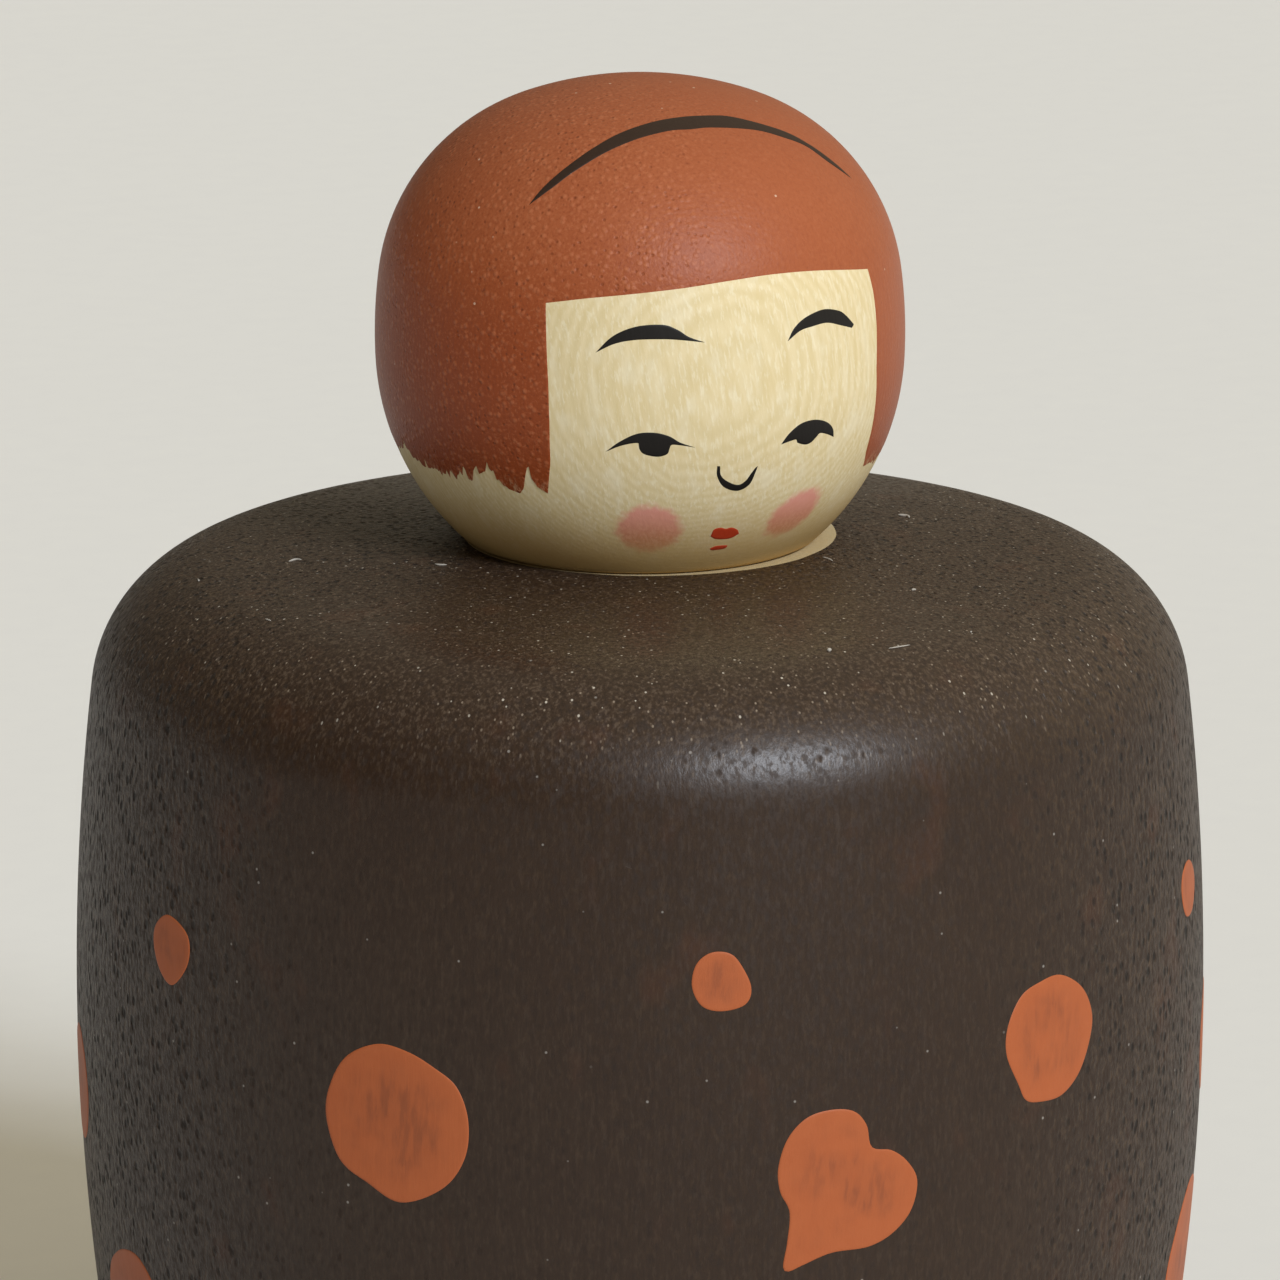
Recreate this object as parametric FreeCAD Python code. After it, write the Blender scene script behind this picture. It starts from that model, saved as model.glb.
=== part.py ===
import FreeCAD, Part
import math
import os

# A small turned wooden doll: a barrel body, a squat round head that turns on it, and the dowel
# between them. Lengths are millimetres and angles are degrees. The part stands on z = 0, the lathe
# axis is Z, and the doll's face looks along -Y.

# Body, turned from one block
BODY_HEIGHT = 58.0           # base to the top of the dome, before the seat is faced flat
BELLY_RADIUS = 30.0
BELLY_HEIGHT = 33.1
SIDE_ARC_RADIUS = 141.9      # the long curve from base to shoulder
SIDE_ARC_CUT = -2.0          # where that curve is cut in two, counted up from the belly
SHOULDER_ARC_RADIUS = 7.5
DOME_ARC_RADIUS = 193.0      # the nearly flat top
FOOT_CHAMFER = 0.9

# Underside, hollowed a little so that the doll stands on a ring and doesn't rock
FOOT_RING_WIDTH = 4.5
FOOT_HOLLOW_DEPTH = 0.8
FOOT_HOLLOW_SLOPE = 1.2      # how far the hollow's wall leans in from the ring

# Seat, faced flat on the dome for the head
SEAT_RADIUS = 10.25

# Head, turned from a second block
HEAD_RADIUS = 13.9
HEAD_EQUATOR_HEIGHT = 10.9   # above the seat
HEAD_BASE_RADIUS = 9.15      # the flat underside that rests on the seat
HEAD_BASE_CHAMFER = 0.2
CHEEK_ARC_RADIUS = 26.9      # the flattest stretch, round the widest place
CHEEK_ABOVE = 7.4            # how far the cheek's arc runs above the widest place
CHEEK_BELOW = 2.3            # how far it runs below
TEMPLE_ARC_RADIUS = 11.0
CROWN_ARC_RADIUS = 19.0

# Neck peg, a dowel that is tight in the head and turns in the body
PEG_RADIUS = 4.0
PEG_DEPTH_IN_HEAD = 9.5
PEG_DEPTH_IN_BODY = 10.0
PEG_CHAMFER = 0.6
PEG_RUNNING_CLEARANCE = 0.05  # radial, between the peg and the body's bore
PEG_END_CLEARANCE = 0.8       # each bore is drilled this much deeper than the peg reaches
BODY_BORE_COUNTERSINK = 0.5
HEAD_BORE_COUNTERSINK = 0.3
DRILL_POINT_HALF_ANGLE = 59.0


def at(r, z):
    """A point of a profile: r from the lathe axis, z up."""
    return FreeCAD.Vector(r, 0, z)


def polar(centre, radius, angle):
    """The point at an angle round a centre, counted up from straight outwards."""
    turn = math.radians(angle)
    return centre + at(radius * math.cos(turn), radius * math.sin(turn))


def bearing(centre, point):
    """The angle from a centre to a point, counted up from straight outwards."""
    return math.degrees(math.atan2(point.z - centre.z, point.x - centre.x))


def arc(centre, radius, *angles):
    """Edges of one circle, each from one of the angles to the next."""
    return [Part.Arc(polar(centre, radius, start), polar(centre, radius, (start + end) / 2),
                     polar(centre, radius, end)).toShape()
            for start, end in zip(angles[:-1], angles[1:])]


def angle_at_height(centre, radius, z):
    """The angle at which an arc's outer side reaches a height."""
    return math.degrees(math.asin((z - centre.z) / radius))


def line(start, end):
    return Part.LineSegment(start, end).toShape()


def path(points):
    """Straight edges through a few points."""
    return [line(a, b) for a, b in zip(points[:-1], points[1:])]


def turned(edges):
    """The solid that a closed half profile makes when it is turned round the lathe axis."""
    face = Part.Face(Part.Wire(Part.__sortEdges__(edges)))
    solid = face.revolve(at(0, 0), FreeCAD.Vector(0, 0, 1), 360)
    return Part.makeSolid(solid) if solid.ShapeType != "Solid" else solid


def drill(radius, depth, mouth_z, direction, countersink):
    """The space that a pointed drill leaves, with a small countersink at its mouth.

    direction is -1 for a hole that goes down from its mouth and +1 for one that goes up.
    """
    point = radius / math.tan(math.radians(DRILL_POINT_HALF_ANGLE))
    outline = [
        at(0, mouth_z),
        at(radius + countersink, mouth_z),
        at(radius, mouth_z + direction * countersink),
        at(radius, mouth_z + direction * depth),
        at(0, mouth_z + direction * (depth + point)),
        at(0, mouth_z),
    ]
    return turned(path(outline))


# The seat lies where the dome has fallen by its sagitta at the seat's radius
SEAT_HEIGHT = BODY_HEIGHT - (DOME_ARC_RADIUS - math.sqrt(DOME_ARC_RADIUS ** 2 - SEAT_RADIUS ** 2))


def make_body():
    """The barrel: side, shoulder and dome are three tangent arcs, cut flat at seat and foot."""
    side_centre = at(BELLY_RADIUS - SIDE_ARC_RADIUS, BELLY_HEIGHT)
    dome_centre = at(0, BODY_HEIGHT - DOME_ARC_RADIUS)

    # The shoulder's centre is as far from each big arc's centre as the two radii differ
    to_side = SIDE_ARC_RADIUS - SHOULDER_ARC_RADIUS
    to_dome = DOME_ARC_RADIUS - SHOULDER_ARC_RADIUS
    between = side_centre - dome_centre
    span = between.Length
    along = (to_dome ** 2 - to_side ** 2 + span ** 2) / (2 * span)
    across = math.sqrt(to_dome ** 2 - along ** 2)
    unit = at(between.x / span, between.z / span)
    shoulder_centre = dome_centre + unit * along + at(unit.z, -unit.x) * across

    side_end = bearing(side_centre, shoulder_centre)
    dome_start = bearing(dome_centre, shoulder_centre)
    dome_end = math.degrees(math.acos(SEAT_RADIUS / DOME_ARC_RADIUS))

    # The side runs down to the foot, whose edge is chamfered against the flat underside
    foot_angle = angle_at_height(side_centre, SIDE_ARC_RADIUS, 0)
    foot_radius = polar(side_centre, SIDE_ARC_RADIUS, foot_angle).x - FOOT_CHAMFER
    side_start = angle_at_height(side_centre, SIDE_ARC_RADIUS, FOOT_CHAMFER)

    ring_inside = foot_radius - FOOT_RING_WIDTH
    edges = path([
        at(0, SEAT_HEIGHT),
        at(0, FOOT_HOLLOW_DEPTH),
        at(ring_inside - FOOT_HOLLOW_SLOPE, FOOT_HOLLOW_DEPTH),
        at(ring_inside, 0),
        at(foot_radius, 0),
        polar(side_centre, SIDE_ARC_RADIUS, side_start),
    ])
    # A long arc that is cut in two keeps its facets even and few
    edges += arc(side_centre, SIDE_ARC_RADIUS, side_start, SIDE_ARC_CUT, side_end)
    edges += arc(shoulder_centre, SHOULDER_ARC_RADIUS, side_end, dome_start)
    edges += arc(dome_centre, DOME_ARC_RADIUS, dome_start, dome_end)
    edges += path([at(SEAT_RADIUS, SEAT_HEIGHT), at(0, SEAT_HEIGHT)])
    bore = drill(PEG_RADIUS + PEG_RUNNING_CLEARANCE, PEG_DEPTH_IN_BODY + PEG_END_CLEARANCE,
                 SEAT_HEIGHT, -1, BODY_BORE_COUNTERSINK)
    return turned(edges).cut(bore)


def make_head():
    """The head: jaw, cheek, temple and crown are four tangent arcs above a flat underside."""
    equator = SEAT_HEIGHT + HEAD_EQUATOR_HEIGHT
    cheek_centre = at(HEAD_RADIUS - CHEEK_ARC_RADIUS, equator)

    temple_centre = polar(cheek_centre, CHEEK_ARC_RADIUS - TEMPLE_ARC_RADIUS, CHEEK_ABOVE)

    # The crown's centre is on the axis, as far from the temple's centre as the radii differ
    drop = math.sqrt((CROWN_ARC_RADIUS - TEMPLE_ARC_RADIUS) ** 2 - temple_centre.x ** 2)
    crown_centre = at(0, temple_centre.z - drop)
    crown_start = bearing(crown_centre, temple_centre)

    # The jaw leaves the cheek's arc smoothly and ends on the rim of the flat underside: its
    # radius is |d|^2 / (2 d.n) for the chord d to the rim and the outward direction n
    jaw_top = polar(cheek_centre, CHEEK_ARC_RADIUS, -CHEEK_BELOW)
    outwards = (jaw_top - cheek_centre).normalize()
    chord = jaw_top - at(HEAD_BASE_RADIUS, SEAT_HEIGHT)
    jaw_radius = chord.dot(chord) / (2 * chord.dot(outwards))
    jaw_centre = jaw_top - outwards * jaw_radius
    jaw_start = angle_at_height(jaw_centre, jaw_radius, SEAT_HEIGHT + HEAD_BASE_CHAMFER)

    crown_top = crown_centre.z + CROWN_ARC_RADIUS
    edges = path([
        at(0, crown_top),
        at(0, SEAT_HEIGHT),
        at(HEAD_BASE_RADIUS - HEAD_BASE_CHAMFER, SEAT_HEIGHT),
        polar(jaw_centre, jaw_radius, jaw_start),
    ])
    # The jaw and the temple are cut in two as the body's side is
    mid_jaw = (jaw_start - CHEEK_BELOW) / 2
    mid_temple = (CHEEK_ABOVE + crown_start) / 2
    edges += arc(jaw_centre, jaw_radius, jaw_start, mid_jaw, -CHEEK_BELOW)
    edges += arc(cheek_centre, CHEEK_ARC_RADIUS, -CHEEK_BELOW, CHEEK_ABOVE)
    edges += arc(temple_centre, TEMPLE_ARC_RADIUS, CHEEK_ABOVE, mid_temple, crown_start)
    edges += arc(crown_centre, CROWN_ARC_RADIUS, crown_start, 90)
    print("overall height %.2f, jaw arc radius %.2f" % (crown_top, jaw_radius))
    bore = drill(PEG_RADIUS, PEG_DEPTH_IN_HEAD + PEG_END_CLEARANCE,
                 SEAT_HEIGHT, 1, HEAD_BORE_COUNTERSINK)
    return turned(edges).cut(bore)


def make_neck_peg():
    """The dowel, chamfered at both ends so that it starts easily in its bores."""
    low = SEAT_HEIGHT - PEG_DEPTH_IN_BODY
    high = SEAT_HEIGHT + PEG_DEPTH_IN_HEAD
    return turned(path([
        at(0, low),
        at(PEG_RADIUS - PEG_CHAMFER, low),
        at(PEG_RADIUS, low + PEG_CHAMFER),
        at(PEG_RADIUS, high - PEG_CHAMFER),
        at(PEG_RADIUS - PEG_CHAMFER, high),
        at(0, high),
        at(0, low),
    ]))


PIECES = {
    "body": make_body,
    "head": make_head,
    "neck_peg": make_neck_peg,
}

os.makedirs("parts", exist_ok=True)
for name, make in PIECES.items():
    piece = make()
    box = piece.optimalBoundingBox()
    print("%-8s valid %s, volume %.1f, z %.2f to %.2f, widest radius %.2f"
          % (name, piece.isValid(), piece.Volume, box.ZMin, box.ZMax, box.XMax))
    piece.exportStep("parts/%s.step" % name)
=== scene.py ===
# %% [markdown]
# # A small turned wooden doll
# The doll is two blocks of wood turned on a lathe, joined by a dowel, and painted by hand. The
# blocks' sizes come from the fixed frame. What this file adds is the finish: smooth turned
# surfaces, bare grain, thin skins of paint with real edges, and soft light.
# Every length is written in millimetres and multiplied by MM, because Blender works in metres.
# %% Load the frame
import math

import bmesh
import bpy
import numpy as np
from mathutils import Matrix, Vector


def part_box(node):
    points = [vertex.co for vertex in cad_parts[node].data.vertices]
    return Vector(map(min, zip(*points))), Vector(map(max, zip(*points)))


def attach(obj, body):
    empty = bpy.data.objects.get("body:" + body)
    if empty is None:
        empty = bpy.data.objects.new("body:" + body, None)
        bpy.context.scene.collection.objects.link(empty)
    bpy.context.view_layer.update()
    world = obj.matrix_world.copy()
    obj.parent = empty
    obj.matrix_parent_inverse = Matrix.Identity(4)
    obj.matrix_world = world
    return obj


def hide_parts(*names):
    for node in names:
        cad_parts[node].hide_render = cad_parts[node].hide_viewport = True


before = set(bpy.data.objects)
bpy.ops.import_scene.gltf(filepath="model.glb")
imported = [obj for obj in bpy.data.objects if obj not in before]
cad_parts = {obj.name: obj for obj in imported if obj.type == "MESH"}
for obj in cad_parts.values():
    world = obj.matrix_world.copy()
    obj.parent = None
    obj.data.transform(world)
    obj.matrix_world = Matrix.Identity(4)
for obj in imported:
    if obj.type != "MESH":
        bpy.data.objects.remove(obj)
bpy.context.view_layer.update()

MM = 0.001

# %% [markdown]
# ## The camera
# The doll was photographed from about half a metre with a long lens, from a little above and from
# the side of its right hand. A camera can be placed by trial, but here its place is worked out:
# it stands on a sphere round the belly, and it looks at the point of the axis that is seen in the
# middle of the picture. The lens follows from how many pixels a millimetre takes up.
# %% Camera
BELLY_HEIGHT = 33.1
CAMERA_DISTANCE = 500.0
CAMERA_AZIMUTH = -22.0
CAMERA_ELEVATION = 16.0
AIM_HEIGHT = 51.98
PICTURE_PIXELS = 1280
LENS_PIXELS = 9350.0         # the lens's length, counted in pixels of the picture

turn, rise = math.radians(CAMERA_AZIMUTH), math.radians(CAMERA_ELEVATION)
camera_data = bpy.data.cameras.new("camera")
camera_data.sensor_width = 36.0
camera_data.lens = camera_data.sensor_width * LENS_PIXELS / PICTURE_PIXELS
camera_data.clip_start = 0.01
camera_data.clip_end = 50.0
camera = bpy.data.objects.new("camera", camera_data)
bpy.context.scene.collection.objects.link(camera)
away = Vector((math.sin(turn) * math.cos(rise), -math.cos(turn) * math.cos(rise), math.sin(rise)))
camera.location = Vector((0, 0, BELLY_HEIGHT * MM)) + away * CAMERA_DISTANCE * MM
looking = Vector((0, 0, AIM_HEIGHT * MM)) - camera.location
camera.rotation_euler = looking.to_track_quat("-Z", "Y").to_euler()
bpy.context.scene.camera = camera
print("lens %.0f mm" % camera_data.lens)

# %% [markdown]
# ## The window
# The photograph has one window-like light, a third of the way up the sky and to the right of the
# camera, and wider than it's tall. Sun lamps side by side, each a few degrees wide, give soft
# light evenly over the whole floor, which an area lamp near the doll wouldn't. Their height was
# worked out from where the doll's shadow ends.
# %% Window light
SUN_AZIMUTHS = (3.0, 11.0, 19.0)  # from the doll's front towards its left hand
SUN_ELEVATION = 33.5
SUN_WIDTH = 8.0              # how wide each lamp looks from the doll, in degrees
SUN_STRENGTH = 0.98
SUN_COLOUR = (0.83, 0.90, 1.0)


def linear(hex_colour):
    """A colour as it is written for a screen, turned into the renderer's linear numbers.

    Each channel c becomes ((c + 0.055) / 1.055) to the power 2.4.
    """
    channels = [int(hex_colour[i:i + 2], 16) / 255 for i in (1, 3, 5)]
    return tuple(((c + 0.055) / 1.055) ** 2.4 if c > 0.04 else c / 12.92 for c in channels) + (1.0,)


sun_data = bpy.data.lights.new("window_light", "SUN")
sun_data.energy = SUN_STRENGTH
sun_data.angle = math.radians(SUN_WIDTH)
sun_data.color = SUN_COLOUR
sun_rise = math.radians(SUN_ELEVATION)
for number, sun_turn in enumerate(map(math.radians, SUN_AZIMUTHS), 1):
    sun = bpy.data.objects.new("window_light_%d" % number, sun_data)
    bpy.context.scene.collection.objects.link(sun)
    towards_sun = Vector((math.sin(sun_turn) * math.cos(sun_rise),
                          -math.cos(sun_turn) * math.cos(sun_rise), math.sin(sun_rise)))
    sun.rotation_euler = towards_sun.to_track_quat("Z", "Y").to_euler()
bpy.context.scene.view_settings.view_transform = "Standard"
print("a window of %d lamps, each %.0f degrees wide" % (len(SUN_AZIMUTHS), SUN_WIDTH))

# %% [markdown]
# ## Writing shader maths as Python
# A material's nodes could be placed one by one, but long formulas then turn into pages of links.
# Here a small class wraps a node's socket and gives it the signs of arithmetic, so that
# `1 - mask` adds a Math node by itself. Every other node comes from one method.
# %% Node helpers
class Value:
    """One number that varies over a surface: the output of some node in a material."""

    def __init__(self, finish, socket):
        self.finish = finish
        self.socket = socket

    def maths(self, operation, *others):
        numbers = dict(("Value_%03d" % i if i else "Value", v) for i, v in enumerate(others))
        return self.finish.node("Math", {"operation": operation}, **numbers)

    def __add__(self, other):
        return self.maths("ADD", self, other)

    def __radd__(self, other):
        return self.maths("ADD", other, self)

    def __sub__(self, other):
        return self.maths("SUBTRACT", self, other)

    def __rsub__(self, other):
        return self.maths("SUBTRACT", other, self)

    def __mul__(self, other):
        return self.maths("MULTIPLY", self, other)

    def __rmul__(self, other):
        return self.maths("MULTIPLY", other, self)

    def __pow__(self, other):
        return self.maths("POWER", self, other)

    def sine(self):
        return self.maths("SINE", self)

    def root(self):
        return self.maths("SQRT", self)

    def between(self, start, end):
        """0 below start and 1 above end, with a smooth step from one to the other."""
        return self.finish.node("MapRange", {"interpolation_type": "SMOOTHSTEP"},
                                Value=self, From_Min=start, From_Max=end)


class Finish:
    """A material, or the world, under construction, with one method that adds any node."""

    def __init__(self, name, world=False):
        self.material = (bpy.data.worlds if world else bpy.data.materials).new(name)
        self.material.use_nodes = True
        self.tree = self.material.node_tree
        self.tree.nodes.clear()

    def node(self, kind, settings=None, output=0, **sockets):
        made = self.tree.nodes.new("ShaderNode" + kind)
        for key, value in (settings or {}).items():
            setattr(made, key, value)
        by_name = {socket.identifier.replace(" ", "_"): socket for socket in made.inputs}
        for key, value in sockets.items():
            if isinstance(value, Value):
                self.tree.links.new(value.socket, by_name[key])
            else:
                by_name[key].default_value = value
        return Value(self, made.outputs[output]) if made.outputs else None

    def millimetres(self, stretch=(1, 1, 1), tilt=(0, 0, 0), centre=(0, 0, 0)):
        """Where a point lies from a centre in millimetres, turned and stretched for a pattern."""
        place = self.node("TexCoord", output="Object")
        return self.node("Mapping", {"vector_type": "TEXTURE"}, Vector=place,
                         Location=tuple(c * MM for c in centre),
                         Rotation=tuple(math.radians(t) for t in tilt),
                         Scale=tuple(MM / s for s in stretch))

    def mark(self, name):
        """A number that the mesh itself carries at every point."""
        return self.node("Attribute", {"attribute_name": name}, output=2)

    def dot(self, vector, direction):
        """How far a vector reaches along a direction."""
        return self.node("VectorMath", {"operation": "DOT_PRODUCT"}, output=1, Vector=vector,
                         Vector_001=tuple(direction))

    def noise(self, place, scale, detail=2.0, roughness=0.5):
        return self.node("TexNoise", {"noise_dimensions": "3D"}, Vector=place, Scale=scale,
                         Detail=detail, Roughness=roughness)

    def mix(self, amount, first, second):
        """Goes from the first colour to the second as the amount goes from 0 to 1."""
        return self.node("Mix", {"data_type": "RGBA"}, output=2, Factor_Float=amount,
                         A_Color=first, B_Color=second)

    def bump(self, height, depth, under=None):
        """Turns a height from 0 to 1 into a relief of a depth in millimetres."""
        more = {"Normal": under} if under else {}
        return self.node("Bump", {}, Height=height, Strength=1.0, Distance=depth * MM, **more)

    def surface(self, **sockets):
        shader = self.node("BsdfPrincipled", {}, **sockets)
        self.node("OutputMaterial", {}, Surface=shader)
        return self.material


print("shader helpers ready")

# %% [markdown]
# ## The room
# The warm room round the doll fills the shadows. It's brighter on the window's side and above, so
# the world's strength follows each direction: with c the cosine of its angle from the brightest
# one, it's (1 + c) squared. A plain world colour would light the doll's far side and chin as much
# as its forehead.
# %% Room light
ROOM_STRENGTH = 0.215
ROOM_COLOUR = (1.0, 0.90, 0.67, 1.0)
BRIGHT_SIDE = (0.69, -0.28, 0.665)

room = Finish("room", world=True)
towards = room.dot(room.node("TexCoord"), BRIGHT_SIDE)
glow = room.node("Background", Color=ROOM_COLOUR, Strength=(towards + 1) ** 2 * ROOM_STRENGTH)
room.node("OutputWorld", Surface=glow)
bpy.context.scene.world = room.material
print("the room's brightest side is at %.2f" % (4 * ROOM_STRENGTH))

# %% [markdown]
# ## The floor
# Seamless paper is nearly one colour, so its material only has a faint fleck.
# %% Floor
FLOOR_SIZE = 6.0
paper = Finish("seamless_paper")
fleck = paper.noise(paper.millimetres(), 0.35, detail=4.0)
paper_colour = paper.mix(fleck, linear("#e0dfde"), linear("#e4e3e1"))
paper.surface(Base_Color=paper_colour, Roughness=0.9)
bpy.ops.mesh.primitive_grid_add(x_subdivisions=4, y_subdivisions=4, size=FLOOR_SIZE)
floor = bpy.context.object
floor.name = "floor"
floor.data.materials.append(paper.material)
print("floor %.0f m wide" % FLOOR_SIZE)

# %% [markdown]
# ## Turned shapes as functions of two parameters
# A turner cuts one outline while the block spins. So each block is one profile, r and z along the
# cut, carried round the axis. The outline is made of tangent arcs, as in the frame, because a
# skew chisel sweeps arcs. Blender's Spin tool could do the same, but with the profile as a
# function every brush stroke can later be laid on the same surface at a known height.
# %% Turned surface
def arc(centre, radius, start, end, count):
    """Points of a circle's arc: centre + radius * (cos a, sin a) for angles a in degrees."""
    a = np.radians(np.linspace(start, end, count))
    return np.column_stack([centre[0] + radius * np.cos(a), centre[1] + radius * np.sin(a)])


def leg(start, end, count):
    """Points of a straight leg between two points."""
    t = np.linspace(0, 1, count)[:, None]
    return np.array(start) * (1 - t) + np.array(end) * t


def bearing(centre, point):
    """The angle in degrees from a centre to a point."""
    return math.degrees(math.atan2(point[1] - centre[1], point[0] - centre[0]))


class Turned:
    """A profile (r, z) in millimetres, spun round the z axis.

    A place on it is an angle round from the doll's front and a distance s along the profile. Its
    position is (r sin a, -r cos a, z), and a lift moves it out along the surface's normal, which
    is the profile's tangent turned by a quarter turn.
    """

    def __init__(self, outline):
        keep = np.r_[True, np.hypot(*np.diff(outline, axis=0).T) > 1e-6]
        self.outline = outline[keep]
        steps = np.hypot(*np.diff(self.outline, axis=0).T)
        self.s = np.r_[0, np.cumsum(steps)]
        tangent = np.gradient(self.outline, self.s, axis=0)
        self.tangent = tangent / np.hypot(*tangent.T)[:, None]

    def s_at_height(self, z):
        return np.interp(z, self.outline[:, 1], self.s)

    def radius(self, s):
        return np.interp(s, self.s, self.outline[:, 0])

    def point(self, angle, s, lift=0.0):
        """angle in degrees; angle, s and lift are arrays of one shape, or numbers."""
        r, z, tr, tz = (np.interp(s, self.s, column) for column in
                        (*self.outline.T, *self.tangent.T))
        size = np.hypot(tr, tz)
        out_r = r + lift * tz / size
        out_z = z - lift * tr / size
        a = np.radians(angle)
        return np.stack([out_r * np.sin(a), -out_r * np.cos(a), out_z + 0 * a], axis=-1)


print("a turned surface takes an angle, a distance along the cut and a lift")

# %% [markdown]
# ## The two outlines
# The numbers are those of the lathe work. The seat's height is read from the frame, and the
# check below stops the script if the outlines and the frame ever part.
# %% Outlines of body and head
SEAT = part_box("body")[1][2] / MM
BELLY_RADIUS, SIDE_RADIUS, SHOULDER_RADIUS = 30.0, 141.9, 7.5
DOME_HEIGHT, DOME_RADIUS, SEAT_RADIUS = 58.0, 193.0, 10.25
FOOT_CHAMFER, FOOT_RING, FOOT_HOLLOW, FOOT_SLOPE = 0.9, 4.5, 0.8, 1.2
BODY_BORE_RADIUS, BODY_BORE_DEPTH, BODY_COUNTERSINK = 4.05, 10.8, 0.5
HEAD_BORE_RADIUS, HEAD_BORE_DEPTH, HEAD_COUNTERSINK = 4.0, 10.3, 0.3
DRILL_POINT = math.tan(math.radians(59.0))

side_centre = (BELLY_RADIUS - SIDE_RADIUS, BELLY_HEIGHT)
dome_centre = (0.0, DOME_HEIGHT - DOME_RADIUS)
between_centres = np.subtract(side_centre, dome_centre)
span = np.hypot(*between_centres)
to_dome, to_side = DOME_RADIUS - SHOULDER_RADIUS, SIDE_RADIUS - SHOULDER_RADIUS
along = (to_dome ** 2 - to_side ** 2 + span ** 2) / (2 * span)
across = math.sqrt(to_dome ** 2 - along ** 2)
unit = between_centres / span
shoulder_centre = np.add(dome_centre, unit * along) + np.array([unit[1], -unit[0]]) * across
side_end = bearing(side_centre, shoulder_centre)
dome_start = bearing(dome_centre, shoulder_centre)
dome_end = math.degrees(math.acos(SEAT_RADIUS / DOME_RADIUS))
side_start = math.degrees(math.asin((FOOT_CHAMFER - BELLY_HEIGHT) / SIDE_RADIUS))
foot_corner = side_centre[0] + math.sqrt(SIDE_RADIUS ** 2 - BELLY_HEIGHT ** 2)
foot_radius = foot_corner - FOOT_CHAMFER

painted_side = np.vstack([
    arc(side_centre, SIDE_RADIUS, side_start, side_end, 90),
    arc(shoulder_centre, SHOULDER_RADIUS, side_end, dome_start, 48),
    arc(dome_centre, DOME_RADIUS, dome_start, dome_end, 40),
])
ring_inside = foot_radius - FOOT_RING
underside = np.vstack([
    leg((0, FOOT_HOLLOW), (ring_inside - FOOT_SLOPE, FOOT_HOLLOW), 8),
    leg((ring_inside - FOOT_SLOPE, FOOT_HOLLOW), (ring_inside, 0), 3),
    leg((ring_inside, 0), (foot_radius, 0), 4),
    leg((foot_radius, 0), painted_side[0], 3),
])


def bore(radius, depth, countersink, way):
    """The outline of a pointed hole from the seat: countersink, wall and drill point."""
    return np.vstack([
        leg((radius + countersink, SEAT), (radius, SEAT + way * countersink), 2),
        leg((radius, SEAT + way * countersink), (radius, SEAT + way * depth), 6),
        leg((radius, SEAT + way * depth), (0, SEAT + way * (depth + radius / DRILL_POINT)), 4),
    ])


body_bore = bore(BODY_BORE_RADIUS, BODY_BORE_DEPTH, BODY_COUNTERSINK, -1)
body_outline = np.vstack([underside, painted_side, leg((SEAT_RADIUS, SEAT), body_bore[0], 10),
                          body_bore])

HEAD_RADIUS, HEAD_EQUATOR, HEAD_BASE = 13.9, 10.9, 9.15
CHEEK_RADIUS, CHEEK_ABOVE, CHEEK_BELOW = 26.9, 7.4, 2.3
TEMPLE_RADIUS, CROWN_RADIUS, BASE_CHAMFER = 11.0, 19.0, 0.2
cheek_centre = np.array([HEAD_RADIUS - CHEEK_RADIUS, SEAT + HEAD_EQUATOR])
temple_centre = arc(cheek_centre, CHEEK_RADIUS - TEMPLE_RADIUS, CHEEK_ABOVE, CHEEK_ABOVE, 1)[0]
drop = math.sqrt((CROWN_RADIUS - TEMPLE_RADIUS) ** 2 - temple_centre[0] ** 2)
crown_centre = np.array([0.0, temple_centre[1] - drop])
crown_start = bearing(crown_centre, temple_centre)
jaw_top = arc(cheek_centre, CHEEK_RADIUS, -CHEEK_BELOW, -CHEEK_BELOW, 1)[0]
outwards = (jaw_top - cheek_centre) / CHEEK_RADIUS
chord = jaw_top - np.array([HEAD_BASE, SEAT])
jaw_radius = chord @ chord / (2 * chord @ outwards)
jaw_centre = jaw_top - outwards * jaw_radius
jaw_start = math.degrees(math.asin((SEAT + BASE_CHAMFER - jaw_centre[1]) / jaw_radius))
head_side = np.vstack([
    arc(jaw_centre, jaw_radius, jaw_start, -CHEEK_BELOW, 56),
    arc(cheek_centre, CHEEK_RADIUS, -CHEEK_BELOW, CHEEK_ABOVE, 20),
    arc(temple_centre, TEMPLE_RADIUS, CHEEK_ABOVE, crown_start, 60),
    arc(crown_centre, CROWN_RADIUS, crown_start, 90, 40),
])
head_bore = bore(HEAD_BORE_RADIUS, HEAD_BORE_DEPTH, HEAD_COUNTERSINK, 1)
head_outline = np.vstack([head_bore[::-1], leg(head_bore[0], (HEAD_BASE - BASE_CHAMFER, SEAT), 8),
                          leg((HEAD_BASE - BASE_CHAMFER, SEAT), head_side[0], 2), head_side])
COAT_REACH = 9.2             # how far in on the seat the body's coat may come
painted_body = Turned(np.vstack([painted_side, leg((SEAT_RADIUS, SEAT), (COAT_REACH, SEAT), 8)]))
head = Turned(head_side)
TOP = head_side[-1][1]
assert abs(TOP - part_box("head")[1][2] / MM) < 0.05, "the head's outline has left the frame"
print("seat at %.2f mm, top at %.2f mm, jaw radius %.2f mm" % (SEAT, TOP, jaw_radius))

# %% [markdown]
# ## From grids of points to closed meshes
# Every new piece is one or two grids of points. The helper below joins a grid's points into
# four-sided faces, welds the seam where the grid closes on itself, and turns all faces outwards.
# Welding after building is simpler than counting shared vertices, and closes the poles too.
# %% Mesh helpers
WELD = 1e-3                  # points nearer to each other than this become one
CREASE = 40.0                # an edge that turns by more degrees than this stays sharp


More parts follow.
